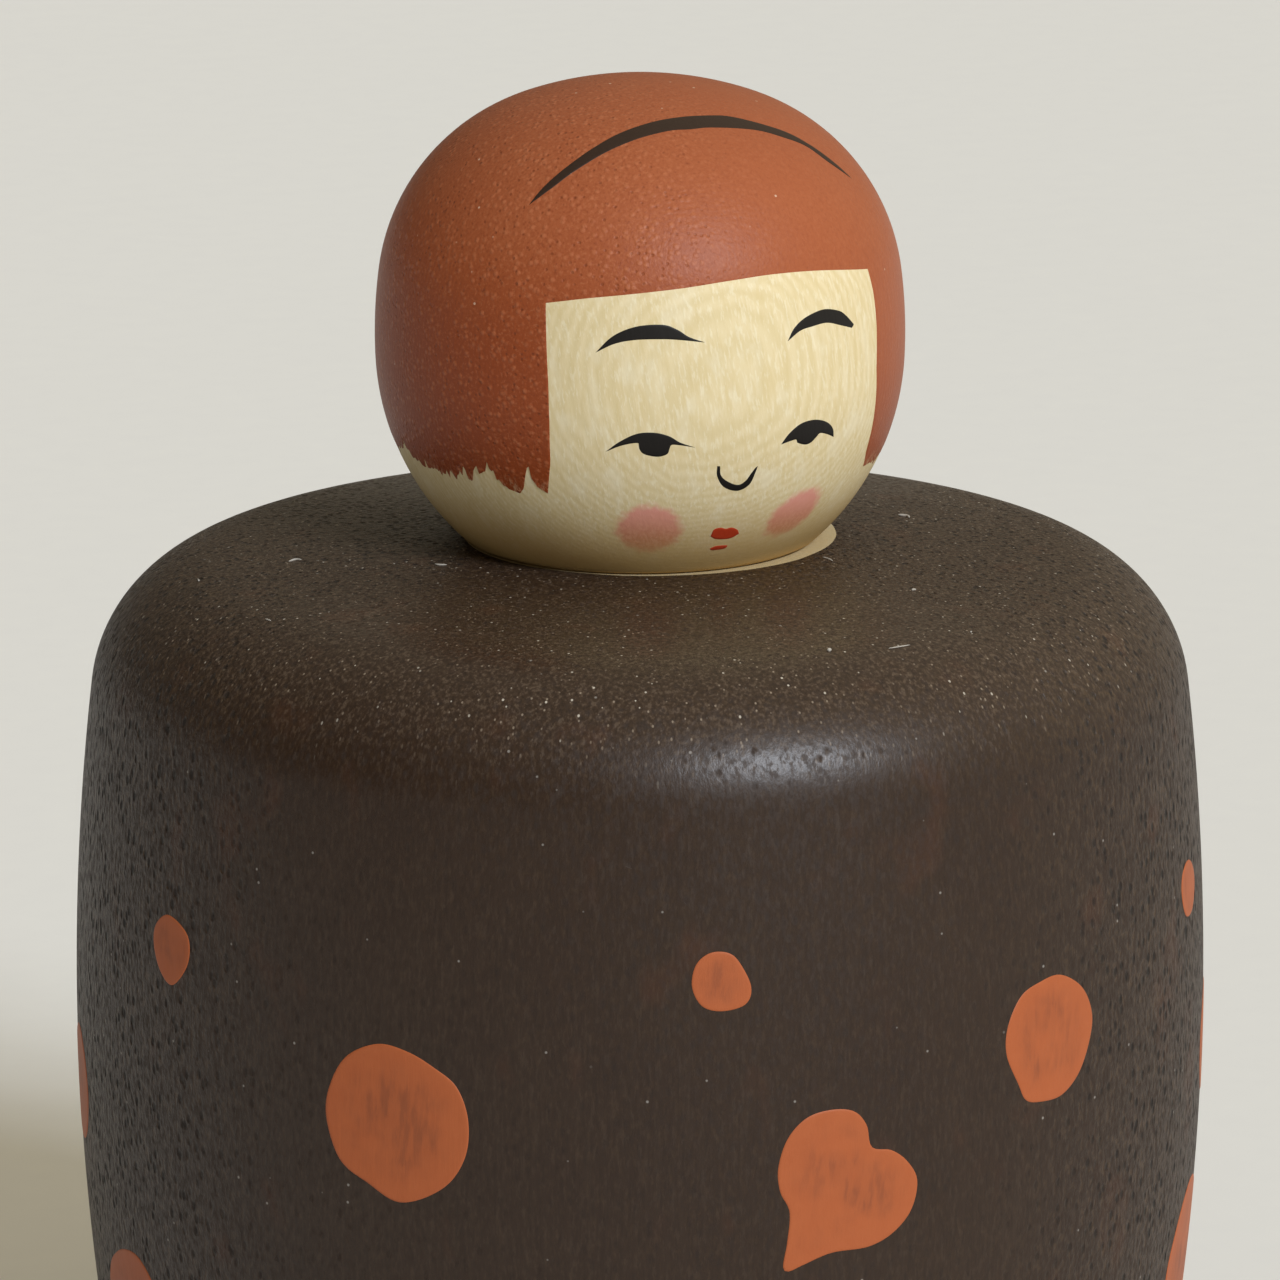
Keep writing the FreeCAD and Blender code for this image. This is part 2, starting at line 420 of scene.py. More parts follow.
def quads(rows, columns, first=0):
    """Faces of a grid whose points are numbered row by row."""
    r, c = np.meshgrid(np.arange(rows - 1), np.arange(columns - 1), indexing="ij")
    corner = first + r * columns + c
    return np.stack([corner, corner + 1, corner + columns + 1, corner + columns], -1).reshape(-1, 4)


def build(name, grids, material, body, marks=None):
    """Welds grids of points, given in millimetres, into one closed smooth piece on a body.

    marks gives one number for each point of each grid, kept in the mesh as "edge_mark".
    """
    points, faces, count = [], [], 0
    for grid in grids:
        rows, columns = grid.shape[:2]
        points.append(grid.reshape(-1, 3))
        faces.append(quads(rows, columns, count))
        count += rows * columns
    mesh = bpy.data.meshes.new(name)
    mesh.from_pydata((np.vstack(points) * MM).tolist(), [], np.vstack(faces).tolist())
    if marks:
        kept = mesh.attributes.new("edge_mark", "FLOAT", "POINT")
        kept.data.foreach_set("value", np.concatenate([m.ravel() for m in marks]))
    work = bmesh.new()
    work.from_mesh(mesh)
    bmesh.ops.remove_doubles(work, verts=work.verts, dist=WELD * MM)
    bmesh.ops.dissolve_degenerate(work, edges=work.edges, dist=1e-9)
    bmesh.ops.recalc_face_normals(work, faces=work.faces)
    open_edges = sum(1 for edge in work.edges if len(edge.link_faces) != 2)
    work.to_mesh(mesh)
    work.free()
    mesh.shade_smooth()
    mesh.set_sharp_from_angle(angle=math.radians(CREASE))
    mesh.materials.append(material)
    piece = bpy.data.objects.new(name, mesh)
    bpy.context.scene.collection.objects.link(piece)
    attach(piece, body)
    print("%-18s %6d faces, %d open edges" % (name, len(mesh.polygons), open_edges))
    return piece


def spun(outline, count):
    """The grid of a whole outline carried round the axis."""
    shape = Turned(outline)
    angle, s = np.meshgrid(np.linspace(-180, 180, count + 1), shape.s, indexing="ij")
    return shape.point(angle, s)


print("mesh helpers ready")

# %% [markdown]
# ## A skin of paint
# Paint on wood is a few hundredths of a millimetre thick, and its edge is a low rounded bank. It
# could be a mask in the wood's material, but a mask blurs when it is baked into a texture. So each
# brush stroke here is a thin closed shell: its outer side stands a little off the wood, its inner
# side lies just under the wood's surface, and the two meet all round.
# %% Paint helpers
PAINT_UNDER = 0.03           # how far a stroke's hidden side lies in the wood


def bank(distance, width, thickness):
    """Paint's height at a distance from its edge: a quarter circle of the bank's width."""
    x = np.clip(distance / width, 0, 1)
    return thickness * np.sqrt(np.clip(1 - (1 - x) ** 2, 0, 1))


def smooth(points, count, closed=False):
    """A smooth curve through a few points: a Catmull-Rom spline, sampled evenly.

    Between points p1 and p2 it is a cubic whose slopes there are half of p2 - p0 and p3 - p1.
    """
    p = np.asarray(points, float)
    if closed:
        p = np.vstack([p[-1], p, p[0], p[1]])
    else:
        p = np.vstack([2 * p[0] - p[1], p, 2 * p[-1] - p[-2]])
    spans = len(p) - 3
    t = np.linspace(0, spans, count * 8)
    k = np.minimum(t.astype(int), spans - 1)
    u = (t - k)[:, None]
    p0, p1, p2, p3 = p[k], p[k + 1], p[k + 2], p[k + 3]
    curve = 0.5 * (2 * p1 + (p2 - p0) * u + (2 * p0 - 5 * p1 + 4 * p2 - p3) * u ** 2
                   + (3 * p1 - p0 - 3 * p2 + p3) * u ** 3)
    run = np.r_[0, np.cumsum(np.hypot(*np.diff(curve, axis=0).T))]
    even = np.linspace(0, run[-1], count)
    return np.column_stack([np.interp(even, run, column) for column in curve.T])


print("paint helpers ready")

# %% [markdown]
# ## Bare wood
# The blocks are a pale, even wood such as dogwood or maple. A year ring is a cylinder round the
# tree's pith, so rings can be computed rather than painted: the distance from an upright pith
# line, cut into thin bands, shows as nested ovals where the block bulges towards the viewer and
# as streaks elsewhere. A second, finer pattern is noise drawn out along the fibres.
# The blush on the cheeks is soft-edged, rubbed into the wood, so it's part of this finish.
# %% Bare wood finish
GLOSS = 0.25                 # matt paint and oiled wood mirror less than plastic's 0.5
PITH = (2.3, 26.0)           # x and y of the pith line, behind the block
RING = 0.21                  # from one ring to the next
FIBRE_TILT = (0, -9, 0)      # the block wasn't quite upright in its tree
BLUSH_DEPTH = 6.0            # keeps the blush off the head's far side


def rings(finish, spacing=RING, wobble=0.32):
    """A wave from 0 to 1 across each year ring: half of 1 + sin(2 pi d / spacing)."""
    from_pith = finish.millimetres(stretch=(1, 1, 1e-4), centre=(*PITH, 0))
    distance = finish.node("VectorMath", {"operation": "LENGTH"}, output=1, Vector=from_pith)
    wander = finish.noise(finish.millimetres(stretch=(1, 1, 0.35)), 0.28, detail=3.0)
    phase = (distance + wander * wobble) * (2 * math.pi / spacing)
    return phase.sine() * 0.5 + 0.5


def fibres(finish, scale, squeeze=0.07, detail=3.0, tilt=FIBRE_TILT):
    """Noise drawn out along the grain, from 0 to 1."""
    along_grain = finish.millimetres(stretch=(1, 1, squeeze), tilt=tilt)
    return finish.noise(along_grain, scale, detail=detail, roughness=0.6)


def facing(finish, surface, angle, height, width, tall, slant=0.0):
    """How far a point is from an oval's centre on a surface, where 1 is the oval's edge.

    The point's offset from the centre is measured along two directions in the surface, each
    divided by the oval's half size: the root of (u / width) squared + (v / tall) squared.
    """
    centre = surface.point(angle, surface.s_at_height(SEAT + height))
    turn = math.radians(angle)
    sideways = Vector((math.cos(turn), math.sin(turn), 0))
    outwards = Vector((math.sin(turn), -math.cos(turn), 0))
    upwards = sideways.cross(outwards) * -1
    lean = math.radians(slant)
    along = sideways * math.cos(lean) + upwards * math.sin(lean)
    up = upwards * math.cos(lean) - sideways * math.sin(lean)
    offset = finish.millimetres(centre=centre)
    u, v = finish.dot(offset, along / width), finish.dot(offset, up / tall)
    depth = finish.dot(offset, outwards / BLUSH_DEPTH)
    return (u * u + v * v + depth * depth).root()


def above_seat(finish):
    """A point's height above the seat in millimetres."""
    return finish.node("SeparateXYZ", {}, output=2, Vector=finish.millimetres(centre=(0, 0, SEAT)))


def bare_wood(name, blush=()):
    finish = Finish(name)
    ring, fibre = rings(finish, wobble=0.7), fibres(finish, 3.0, squeeze=0.16)
    fine = fibres(finish, 6.5, squeeze=0.2)
    cloud = finish.noise(finish.millimetres(stretch=(1, 1, 0.6)), 0.8, detail=3.0)
    colour = finish.mix(ring, linear("#d3c094"), linear("#dac89f"))
    colour = finish.mix(fibre.between(0.45, 0.7) * 0.45, colour, linear("#ccb684"))
    colour = finish.mix(fine.between(0.5, 0.68) * 0.4, colour, linear("#e9e0c6"))
    colour = finish.mix(cloud.between(0.5, 0.72) * 0.35, colour, linear("#e6dcc2"))
    for oval in blush:
        distance = facing(finish, head, *oval)
        rub = finish.noise(finish.millimetres(), 2.6, detail=3.0)
        soft = 1 - (distance + (rub - 0.5) * 0.4).between(0.72, 1.15)
        colour = finish.mix(soft * 0.8, colour, linear("#dc8580"))
        deep = above_seat(finish).between(4.2, 2.0) * (0.4 + 0.6 * fine.between(0.4, 0.6))
        colour = finish.mix(soft * deep * 0.75, colour, linear("#bb4a45"))
    if blush:
        # painted shade: the wood darker and yellower towards the base, for the shade under the chin
        chin_shade = above_seat(finish).between(5.0, 0.2)
        colour = finish.mix(chin_shade * 0.9, colour, linear("#b8955a"))
    else:  # painted shade: darker all over, for the seat in the head's shade
        colour = finish.mix(ring * 0.2 + 0.4, colour, linear("#a3906a"))
    relief = finish.bump(fibre * 0.6 + fine * 0.4, 0.02)
    relief = finish.bump(ring, 0.0015, under=relief)
    return finish.surface(Base_Color=colour, Roughness=0.5 + 0.1 * fibre, Normal=relief,
                          Specular_IOR_Level=GLOSS)


CHEEKS = [(-19.7, 3.05, 1.75, 1.5, 0.0), (20.2, 3.25, 1.75, 1.3, 30.0)]
head_finish = bare_wood("bare_wood_head", blush=CHEEKS)
body_finish = bare_wood("bare_wood_body")
print("rings every %.2f mm, pith %.0f mm behind the face" % (RING, PITH[1] + HEAD_RADIUS))

# %% [markdown]
# ## Paints
# Poster-like paint with a little wax over it: deep, satin, and never quite even. The wood's
# relief prints through every coat, so each paint's bump starts from the same fibres and rings.
# Dust is small pale flecks: cells of a Voronoi pattern, thinned out by each cell's random colour.
# %% Paint finishes
FLAT = 1000.0                # so tall that specks on a level face are all whole circles
END_GRAIN = (0.93, -0.37, 0.0)  # the direction in which the block's pores lie open


def specks(finish, scale, soft, hard, share, tall=1.0):
    """1 inside small specks, one in each of the scattered cells, scale cells to a millimetre.

    A cell keeps its speck if its random number is below share, and tall draws it out along Z.
    """
    place = finish.millimetres(stretch=(1, 1, 1 / tall))
    cells = {"feature": "F1", "voronoi_dimensions": "3D"}
    distance = finish.node("TexVoronoi", cells, Vector=place, Scale=scale)
    chance = finish.node("TexVoronoi", cells, output=1, Vector=place, Scale=scale)
    chosen = finish.node("SeparateColor", {}, output=0, Color=chance)
    return (1 - distance.between(hard, soft)) * (1 - chosen.between(share, share + 0.01))


def upward(finish):
    """0 on upright sides and 1 on faces that look up, where dust settles and where a painted sheen
    lightens the coat.
    """
    normal = finish.node("NewGeometry", output=1)
    return finish.node("SeparateXYZ", {}, output=2, Vector=normal).between(0.15, 0.85)


def sideways(finish):
    """0 at the front and back and 1 at the doll's two sides, where the block's end rings lie.

    There the wood's pores are cut open and stand up through the paint.
    """
    from_axis = finish.millimetres(stretch=(1, 1, 1e-4))
    sides = finish.node("VectorMath", {"operation": "NORMALIZE"}, Vector=from_axis)
    across = finish.dot(sides, END_GRAIN)
    return finish.node("Math", {"operation": "ABSOLUTE"}, Value=across).between(0.55, 0.98)


def hair_paint():
    finish = Finish("hair_paint")
    ring = rings(finish, wobble=0.5)
    fibre = fibres(finish, 5.0, squeeze=0.12, tilt=(0, 0, 0))
    grain = finish.noise(finish.millimetres(), 6.0, detail=3.0, roughness=0.6)
    left = finish.node("SeparateXYZ", {}, output=0, Vector=finish.millimetres()).between(4.0, -6.0)
    raised = specks(finish, 2.6, 0.5, 0.1, 0.75) * (0.25 + 0.75 * left)
    pits = specks(finish, 3.1, 0.36, 0.12, 0.4) * (0.2 + 0.8 * left)
    cloud = finish.noise(finish.millimetres(), 0.22, detail=3.0)
    colour = finish.mix(cloud, linear("#994f2d"), linear("#a05835"))
    colour = finish.mix(above_seat(finish).between(15.0, 5.0) * 0.8, colour, linear("#8f4522"))
    # painted shade: the hair darker and deeper on its side away from the window, below the crown
    shade = left * above_seat(finish).between(20.0, 12.0)
    colour = finish.mix(shade * 0.7, colour, linear("#84360b"))
    colour = finish.mix(fibre.between(0.42, 0.75) * 0.3, colour, linear("#853f22"))
    colour = finish.mix(grain.between(0.52, 0.75) * (0.2 + 0.4 * left), colour, linear("#7a371c"))
    colour = finish.mix(grain.between(0.48, 0.3) * (0.1 + 0.2 * left), colour, linear("#bb7550"))
    colour = finish.mix(raised * 0.3, colour, linear("#bf7752"))
    colour = finish.mix(pits * 0.4, colour, linear("#652c15"))
    colour = finish.mix(specks(finish, 1.0, 0.09, 0.05, 0.2) * 0.6, colour, linear("#dcc0a8"))
    dry = fibres(finish, 5.0, squeeze=0.1, tilt=(0, 0, 0))
    thin = dry.between(0.5, 0.62) * (1 - finish.mark("edge_mark").between(0.0, 0.9))
    colour = finish.mix(thin * 0.5, colour, linear("#c9a581"))
    relief = finish.bump(grain, 0.02)
    relief = finish.bump(fibre, 0.014, under=relief)
    relief = finish.bump(raised - pits, 0.02, under=relief)
    relief = finish.bump(ring, 0.003, under=relief)
    return finish.surface(Base_Color=colour, Roughness=0.43 + 0.08 * grain, Normal=relief,
                          Specular_IOR_Level=GLOSS)


def body_paint():
    finish = Finish("body_paint")
    up, side = upward(finish), sideways(finish)
    fibre = fibres(finish, 6.0, squeeze=0.12, tilt=(0, 0, 0))
    streak = fibres(finish, 2.4, squeeze=0.07, tilt=(0, 0, 0))
    pores = finish.noise(finish.millimetres(stretch=(1, 1, 0.5)), 3.6, detail=3.0, roughness=0.6)
    cloud = finish.noise(finish.millimetres(), 0.12, detail=3.0)
    worn = finish.noise(finish.millimetres(stretch=(1, 1, 0.6)), 0.3, detail=2.0)
    holes = specks(finish, 2.0, 0.44, 0.16, 0.6, tall=1.6)
    fuzz = finish.noise(finish.millimetres(stretch=(1, 1, 0.3)), 5.0, detail=3.0, roughness=0.65)
    crumb = (1 - pores).between(0.53, 0.64)
    colour = finish.mix(cloud, linear("#2b1c13"), linear("#312217"))
    colour = finish.mix(fibre.between(0.42, 0.7) * 0.3, colour, linear("#1f140d"))
    colour = finish.mix(streak.between(0.5, 0.75) * 0.2, colour, linear("#3d2f24"))
    colour = finish.mix(worn.between(0.58, 0.76) * 0.35, colour, linear("#4a2a18"))
    colour = finish.mix(crumb * (0.1 + 0.5 * side), colour, linear("#4e3b28"))
    # painted shade: the pores darkened, most on the sides
    colour = finish.mix(holes * (0.15 + 0.75 * side), colour, linear("#0d0907"))
    # dust, and a painted sheen: the coat lighter on faces that look up
    colour = finish.mix(up * 0.12, colour, linear("#5a483a"))
    colour = finish.mix(fuzz.between(0.5, 0.66) * (0.07 + 0.33 * up), colour, linear("#6b5a4a"))
    colour = finish.mix(fuzz.between(0.5, 0.34) * (0.1 + 0.4 * up), colour, linear("#1b110b"))
    patchy = finish.noise(finish.millimetres(), 0.16).between(0.3, 0.62)
    dust = specks(finish, 3.0, 0.22, 0.1, 0.5, tall=FLAT) * up * (0.4 + 0.6 * patchy)
    flakes = specks(finish, 1.7, 0.13, 0.08, 0.3, tall=FLAT) * up * (0.5 + 0.5 * patchy)
    lint = specks(finish, 1.1, 0.11, 0.05, 0.16)
    colour = finish.mix(dust * 0.6, colour, linear("#a3927f"))
    colour = finish.mix(flakes * 0.8, colour, linear("#c9bfb0"))
    colour = finish.mix(lint * 0.3, colour, linear("#c9c3bb"))
    relief = finish.bump(streak, 0.012)
    relief = finish.bump(fibre, 0.007, under=relief)
    relief = finish.bump(pores * (0.1 + 0.9 * side), 0.16, under=relief)
    relief = finish.bump(1 - holes * (0.03 + 0.97 * side), 0.1, under=relief)
    dull = pores.between(0.46, 0.66) * 0.2 + holes * 0.2 + side * 0.1
    return finish.surface(Base_Color=colour, Roughness=dull + 0.35, Normal=relief,
                          Specular_IOR_Level=0.32)


def spot_paint():
    finish = Finish("spot_paint")
    fibre = fibres(finish, 6.0, squeeze=0.13, tilt=(0, 0, 0))
    streak = fibres(finish, 2.2, squeeze=0.2, detail=4.0, tilt=(0, 6, 0))
    thin = finish.noise(finish.millimetres(), 0.45)
    cloud = finish.noise(finish.millimetres(), 1.2)
    colour = finish.mix(cloud, linear("#a85a33"), linear("#a1532d"))
    middle = 1 - finish.mark("edge_mark").between(0.45, 0.95)
    show = middle * (0.35 + 0.65 * streak.between(0.42, 0.62)) * thin.between(0.3, 0.65)
    colour = finish.mix(show * 0.6, colour, linear("#74402a"))
    relief = finish.bump(fibre, 0.014)
    return finish.surface(Base_Color=colour, Roughness=0.48 + 0.1 * streak, Normal=relief,
                          Specular_IOR_Level=GLOSS)


def plain_paint(name, first, second, roughness):
    finish = Finish(name)
    fibre = fibres(finish, 4.0)
    colour = finish.mix(fibre, linear(first), linear(second))
    return finish.surface(Base_Color=colour, Roughness=roughness + 0.1 * fibre,
                          Normal=finish.bump(fibre, 0.015), Specular_IOR_Level=GLOSS)


hair_finish, dark_finish, spot_finish = hair_paint(), body_paint(), spot_paint()
line_finish = plain_paint("line_paint", "#120f0d", "#191512", 0.42)
arc_finish = plain_paint("arc_paint", "#2a1b13", "#35241a", 0.45)
lip_finish = plain_paint("lip_paint", "#a52f14", "#b23d20", 0.42)
print("paints ready")

# %% [markdown]
# ## The two blocks and the dowel
# The body and the head are their outlines spun round, with the bore for the dowel inside. They
# take the place of the frame's own solids, which are the same shapes in flat facets. The dowel
# keeps its solid and only gets its wood.
# %% Wooden blocks
body_wood = build("body_wood", [spun(body_outline, 240)], body_finish, "body")
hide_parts("body")
head_wood = build("head_wood", [spun(head_outline, 240)], head_finish, "head")
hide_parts("head")
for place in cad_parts["neck_peg"].material_slots:
    place.material = bare_wood("dowel_wood")
print("blocks turned")

# %% [markdown]
# ## The dark coat
# The body is painted everywhere but where the head stands. There the brush went round by eye,
# so the coat's border is a little ragged, and its circle isn't quite centred on the head.
# %% Body coat
COAT, COAT_BANK = 0.04, 0.12  # the coat's thickness and the width of its rounded edge
PATCH_RADIUS, PATCH_SHIFT, PATCH_TOWARDS = 9.75, 0.7, 100.0
PATCH_LEAST = 9.25
ON_TOP = slice(130, None)    # the painted outline's points on the level top
rng = np.random.default_rng(7)


def ragged(angle, waves, size):
    """Sum of waves round the axis with random phases; higher waves are smaller."""
    phases = rng.uniform(0, 2 * np.pi, len(waves))
    total = sum(np.sin(np.radians(angle) * n + p) / math.sqrt(n) for n, p in zip(waves, phases))
    return total * size


coat_angle = np.linspace(-180, 180, 441)
border = (PATCH_RADIUS + PATCH_SHIFT * np.cos(np.radians(coat_angle - PATCH_TOWARDS))
          + ragged(coat_angle, (3, 5, 8, 13, 21, 34), 0.035)).clip(PATCH_LEAST)
border_s = np.interp(-border, -painted_body.outline[ON_TOP, 0], painted_body.s[ON_TOP])
row = np.linspace(0, 1, 180)
coat_s = border_s[:, None] * row[None]
coat_a = np.broadcast_to(coat_angle[:, None], coat_s.shape)
coat_lift = bank(border_s[:, None] - coat_s, COAT_BANK, COAT)
outer = painted_body.point(coat_a, coat_s, coat_lift)
few = np.unique(np.r_[0:180:18, 179])
inner = painted_body.point(coat_a[:, few], coat_s[:, few], -PAINT_UNDER)
ends = [np.stack([outer[:, k], inner[:, k]]) for k in (0, -1)]
build("body_paint", [outer, inner] + ends, dark_finish, "body")

# %% [markdown]
# ## The hair
# The hair is one coat of terracotta with a window left open for the face. Its edge is a crisp
# line at the fringe and the sides, and a ragged row of brush ends at the nape. A skin with a
# window can't be one plain grid, so it's two: a cap whose columns run up to the crown, and a
# curtain round the sides and back whose left and right columns follow the window's edges.
# Every place is an angle from the front in degrees and a height above the seat in millimetres.
# %% Hair coat
HAIR, HAIR_BANK = 0.03, 0.1
FRINGE = [(-42.8, 15.13), (-32.9, 15.50), (-20.4, 15.82), (-12.8, 15.99), (-2.2, 16.23),
          (9.2, 16.35), (22.1, 16.18), (39.2, 15.63)]
RIGHT_EDGE = [(43.9, 4.86), (41.7, 5.86), (41.3, 7.14), (40.7, 8.42), (39.9, 10.50),
              (40.3, 12.51), (40.2, 14.12), (39.2, 15.63)]
LEFT_EDGE = [(-43.7, 4.95), (-42.0, 6.79), (-41.6, 8.90), (-41.7, 10.92), (-42.2, 12.90),
             (-42.8, 15.13)]
NAPE_RIGHT = [(43.9, 4.86), (48.3, 4.90), (52.0, 4.55), (60.6, 5.0)]
NAPE_LEFT = [(-91.3, 5.80), (-89.5, 5.36), (-86.3, 5.30), (-82.3, 5.07), (-76.7, 5.21),
             (-76.2, 4.85), (-73.4, 5.03), (-71.3, 4.75), (-69.3, 4.98), (-67.4, 5.28),
             (-65.8, 5.12), (-64.7, 5.05), (-63.1, 5.29), (-61.0, 5.41), (-59.6, 5.72),
             (-57.8, 5.84), (-56.9, 5.33), (-54.1, 4.97), (-51.1, 4.77), (-49.9, 5.09),
             (-49.2, 6.31), (-48.7, 6.43), (-47.9, 5.75), (-46.3, 5.29), (-43.7, 4.95)]
BRISTLE = 0.75                # the longest gap that a single bristle leaves
NAPE_HEIGHT = 5.2
SHOWN = 262                   # from this angle on, the photograph shows the nape
BRISTLES = 420
tips = np.arange(64.0, 266.0, 2.3)
tips = tips + rng.uniform(-0.8, 0.8, len(tips))
tips = np.column_stack([tips, NAPE_HEIGHT + rng.uniform(-0.35, 0.35, len(tips))])
nape = np.vstack([NAPE_RIGHT, tips, np.array(NAPE_LEFT) + (360, 0)])

ROWS, FACE_COLUMNS, CAP_ROWS = 26, 150, 46
right, left = np.array(RIGHT_EDGE), np.array(LEFT_EDGE) + (360, 0)
low_angle = np.r_[np.arange(right[0, 0], SHOWN, 0.6), np.arange(SHOWN, left[0, 0], 0.22),
                  left[0, 0]]
COLUMNS = len(low_angle)
u, v = (low_angle - low_angle[0]) / np.ptp(low_angle), np.linspace(0, 1, ROWS)
bristles = rng.uniform(0, 1, BRISTLES) ** 2.5
bristle = np.interp(low_angle, np.linspace(50, 306, BRISTLES), bristles, left=0, right=0)
dry_brush = np.interp(low_angle, [50, SHOWN, 270, 302, 305], [0.8, 0.8, 1.0, 1.0, 0.1])
low = np.interp(low_angle, *nape.T) + BRISTLE * bristle * dry_brush
high = right[-1, 1] + u * (left[-1, 1] - right[-1, 1])
height = low[:, None] + v[None] * (high - low)[:, None]
curtain_angle = (np.interp(height, *right.T[::-1]) * (1 - u[:, None])
                 + np.interp(height, *left.T[::-1]) * u[:, None])
curtain_s = head.s_at_height(SEAT + height)

fringe = smooth(FRINGE, FACE_COLUMNS)
cap_angle = np.vstack([np.column_stack([curtain_angle[:, -1], high]),
                       (fringe + (360, 0))[1:]])
foot_s = head.s_at_height(SEAT + cap_angle[:, 1])
w = np.linspace(0, 1, CAP_ROWS)
cap_s = foot_s[:, None] + w[None] * (head.s[-1] - foot_s)[:, None]
cap_a = np.broadcast_to(cap_angle[:, :1], cap_s.shape)

brink = np.vstack([
    head.point(low_angle, head.s_at_height(SEAT + low)),
    head.point(curtain_angle[0], curtain_s[0]), head.point(curtain_angle[-1], curtain_s[-1]),
    head.point(fringe[:, 0], head.s_at_height(SEAT + fringe[:, 1])),
])


def from_brink(angle, s):
    """Distance of every grid point to the nearest point of the coat's edge."""
    points = head.point(angle, s)
    return np.array([np.sqrt(((line[:, None] - brink[None]) ** 2).sum(-1)).min(1)
                     for line in points])


cap_lift = bank(from_brink(cap_a, cap_s), HAIR_BANK, HAIR)
curtain_lift = bank(from_brink(curtain_angle, curtain_s), HAIR_BANK, HAIR)
cap_out = head.point(cap_a, cap_s, cap_lift)
curtain_out = head.point(curtain_angle, curtain_s, curtain_lift)
few = np.unique(np.r_[0:CAP_ROWS:6, CAP_ROWS - 1])
cap_in = head.point(cap_a[:, few], cap_s[:, few], -PAINT_UNDER)
curtain_in = head.point(curtain_angle, curtain_s, -PAINT_UNDER)
window = slice(COLUMNS - 1, None)
hair_grids = [
    cap_out, curtain_out, cap_in, curtain_in,
    np.stack([cap_out[window, 0], cap_in[window, 0]]),
    np.stack([curtain_out[:, 0], curtain_in[:, 0]]),
    np.stack([curtain_out[0], curtain_in[0]]), np.stack([curtain_out[-1], curtain_in[-1]]),
]
above_nape = [grid[..., 2] - SEAT - 5.0 for grid in hair_grids]
build("hair_paint", hair_grids, hair_finish, "head", marks=above_nape)

# %% [markdown]
# ## Brush strokes on the face
# Each brow and eye is one stroke of a pointed brush, so it's the band between two edge curves
# that meet at both ends. The grid runs along the stroke and across it. The eye's lower edge dips
# where the brush pressed down for the iris.
# %% Brows, eyes, nose and mouth
LINE, LINE_BANK = 0.022, 0.09


def stroke(name, low_edge, high_edge, finish, under=0.0, along=90):
    """The band between two curves on the head: low * (1 - v) + high * v, thick in the middle.

    under is how far the paint that it lies on stands off the wood.
    """
    low_curve, high_curve = smooth(low_edge, along), smooth(high_edge, along)
    v = (1 - np.cos(np.linspace(0, np.pi, 11))) / 2
    place = low_curve[:, None] * (1 - v[:, None]) + high_curve[:, None] * v[:, None]
    s = head.s_at_height(SEAT + place[..., 1])
    per_degree = head.radius(s.mean()) * math.pi / 180
    wide = np.hypot((high_curve - low_curve)[:, 0] * per_degree, (high_curve - low_curve)[:, 1])
    lift = under + bank(np.minimum(v, 1 - v)[None] * wide[:, None], LINE_BANK, LINE)
    outer = head.point(place[..., 0], s, lift)
    inner = head.point(place[..., 0], s, under - PAINT_UNDER)
    edges = [np.stack([outer[k], inner[k]]) for k in (0, -1)]
    edges += [np.stack([outer[:, k], inner[:, k]]) for k in (0, -1)]
    return build(name, [outer, inner] + edges, finish, "head")


stroke("brow_right_hand",
       [(-31.5, 12.74), (-27.4, 13.22), (-23.0, 13.43), (-17.3, 13.46), (-13.2, 13.39),
        (-8.0, 13.22)],
       [(-31.5, 12.74), (-27.8, 13.61), (-22.9, 14.11), (-17.2, 14.20), (-14.0, 13.93),
        (-11.5, 13.54), (-8.0, 13.22)], line_finish)
stroke("brow_left_hand",
       [(11.2, 12.89), (14.6, 13.33), (17.8, 13.45), (22.3, 13.50), (27.0, 13.18), (30.2, 12.94)],
       [(11.2, 12.89), (13.1, 13.53), (16.4, 13.99), (21.5, 14.22), (26.2, 13.99), (28.6, 13.64),
        (31.0, 13.11)], line_finish)
stroke("eye_right_hand",
       [(-29.5, 7.51), (-26.0, 7.87), (-22.5, 8.02), (-22.2, 7.73), (-21.1, 7.41), (-18.2, 7.26),
        (-16.1, 7.40), (-15.6, 7.71), (-15.1, 7.90), (-12.8, 7.84), (-9.9, 7.70)],
       [(-29.5, 7.51), (-26.4, 8.08), (-22.7, 8.52), (-19.0, 8.58), (-15.8, 8.38), (-13.3, 8.01),
        (-9.9, 7.70)], line_finish)
stroke("eye_left_hand",
       [(10.3, 7.45), (14.0, 7.60), (14.7, 7.41), (16.9, 7.23), (18.6, 7.28), (20.0, 7.54),
        (21.0, 7.71), (23.2, 7.57), (25.6, 7.32)],
       [(10.3, 7.45), (12.2, 8.01), (15.1, 8.44), (18.8, 8.52), (22.4, 8.28), (24.8, 7.84),
        (25.6, 7.32)], line_finish)
stroke("upper_lip", [(-3.3, 2.42), (-1.4, 2.22), (2.5, 2.18), (4.8, 2.42)],
       [(-3.3, 2.42), (-2.9, 2.82), (-1.3, 2.93), (0.4, 2.83), (2.0, 2.87), (3.9, 2.68),
        (4.8, 2.42)], lip_finish)
stroke("lower_lip", [(-2.4, 1.62), (-1.4, 1.50), (2.0, 1.53), (2.6, 1.64)],
       [(-2.4, 1.62), (-0.7, 1.76), (2.5, 1.74), (2.6, 1.64)], lip_finish)
stroke("nose", [(-4.75, 6.60), (-4.5, 6.02), (-2.6, 5.38), (0.9, 5.08), (3.7, 5.36), (4.75, 6.03),
                (5.1, 6.40)],
       [(-4.05, 6.58), (-3.6, 6.05), (-1.7, 5.66), (0.9, 5.43), (2.6, 5.62), (3.7, 6.02),
        (4.5, 6.30)], line_finish)
